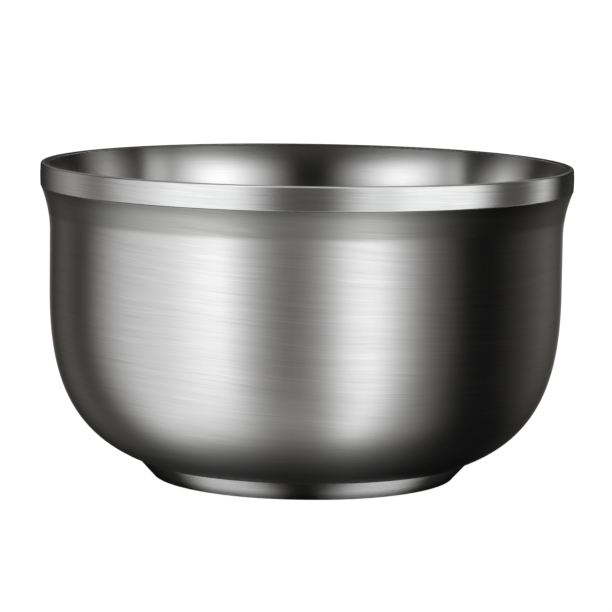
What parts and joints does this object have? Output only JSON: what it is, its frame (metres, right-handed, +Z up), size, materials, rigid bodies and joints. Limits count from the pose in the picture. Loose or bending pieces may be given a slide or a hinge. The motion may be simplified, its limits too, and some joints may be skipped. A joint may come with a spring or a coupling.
{
  "type": "shaving bowl",
  "caption": "Round double-walled steel lather bowl with a turned rim band, flared neck, rounded belly and a low foot ring.",
  "frame": {"origin": "centre of the circle that the foot ring stands on, on the table", "axes": "+Z up along the bowl's axis of turning; the bowl is the same all round, so +X and +Y are any two horizontal directions"},
  "size_m": [0.1, 0.1, 0.059],
  "materials": {
    "outer_shell": "brushed round the bowl, satin",
    "inner_shell": "fine satin",
    "rim_band": "brushed round the rim, satin, with polished edges",
    "rim_weld": "weld bead ground flush and polished",
    "neck_braze": "as brazed, hidden",
    "foot_ring": "brushed round the foot, satin",
    "foot_weld": "as welded",
    "vent_plug": "pressed, bright"
  },
  "bodies": {
    "root": {"outer_shell": "outer_shell", "inner_shell": "inner_shell", "rim_band": "rim_band", "rim_weld": "rim_weld", "neck_braze": "neck_braze", "foot_ring": "foot_ring", "foot_weld": "foot_weld", "vent_plug": "vent_plug"}
  },
  "joints": []
}
